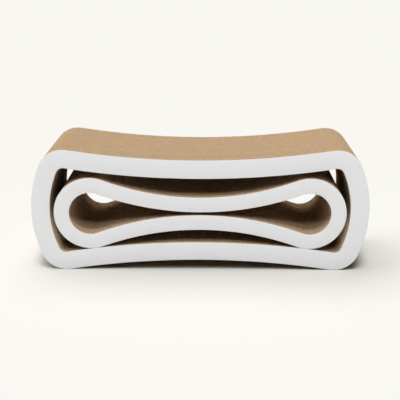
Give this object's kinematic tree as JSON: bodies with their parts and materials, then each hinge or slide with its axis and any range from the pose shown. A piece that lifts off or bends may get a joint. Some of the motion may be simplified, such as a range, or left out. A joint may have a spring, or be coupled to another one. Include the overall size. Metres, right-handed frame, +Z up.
{
  "type": "cat scratcher",
  "caption": "Nested cardboard cat scratcher: a long sagging ring holding a dog-bone ring that slides out, with white faces and kraft scratching edges.",
  "frame": {"origin": "on the floor, under the middle of the outer ring", "axes": "+X along the length, +Y from the front cover to the back cover, +Z up"},
  "size_m": [0.7, 0.2318, 0.257],
  "materials": {
    "kraft_corrugated": "matte",
    "white_liner_board": "matte"
  },
  "bodies": {
    "outer_ring": {"outer_ring_front_cover": "white_liner_board", "outer_ring_core_pack_01": "kraft_corrugated", "outer_ring_core_pack_02": "kraft_corrugated", "outer_ring_core_pack_03": "kraft_corrugated", "outer_ring_core_pack_04": "kraft_corrugated", "outer_ring_core_pack_05": "kraft_corrugated", "outer_ring_core_pack_06": "kraft_corrugated", "outer_ring_core_pack_07": "kraft_corrugated", "outer_ring_core_pack_08": "kraft_corrugated", "outer_ring_core_pack_09": "kraft_corrugated", "outer_ring_core_pack_10": "kraft_corrugated", "outer_ring_core_pack_11": "kraft_corrugated", "outer_ring_core_pack_12": "kraft_corrugated", "outer_ring_core_pack_13": "kraft_corrugated", "outer_ring_core_pack_14": "kraft_corrugated", "outer_ring_back_cover": "white_liner_board"},
    "inner_ring": {"inner_ring_front_cover": "white_liner_board", "inner_ring_core_pack_01": "kraft_corrugated", "inner_ring_core_pack_02": "kraft_corrugated", "inner_ring_core_pack_03": "kraft_corrugated", "inner_ring_core_pack_04": "kraft_corrugated", "inner_ring_core_pack_05": "kraft_corrugated", "inner_ring_core_pack_06": "kraft_corrugated", "inner_ring_core_pack_07": "kraft_corrugated", "inner_ring_core_pack_08": "kraft_corrugated", "inner_ring_core_pack_09": "kraft_corrugated", "inner_ring_core_pack_10": "kraft_corrugated", "inner_ring_core_pack_11": "kraft_corrugated", "inner_ring_core_pack_12": "kraft_corrugated", "inner_ring_core_pack_13": "kraft_corrugated", "inner_ring_core_pack_14": "kraft_corrugated", "inner_ring_back_cover": "white_liner_board"}
  },
  "joints": [
    {"name": "inner_ring_slide", "type": "slide", "parent": "outer_ring", "child": "inner_ring", "axis": [0, -1, 0], "range_m": [-0.24, 0.24]}
  ]
}
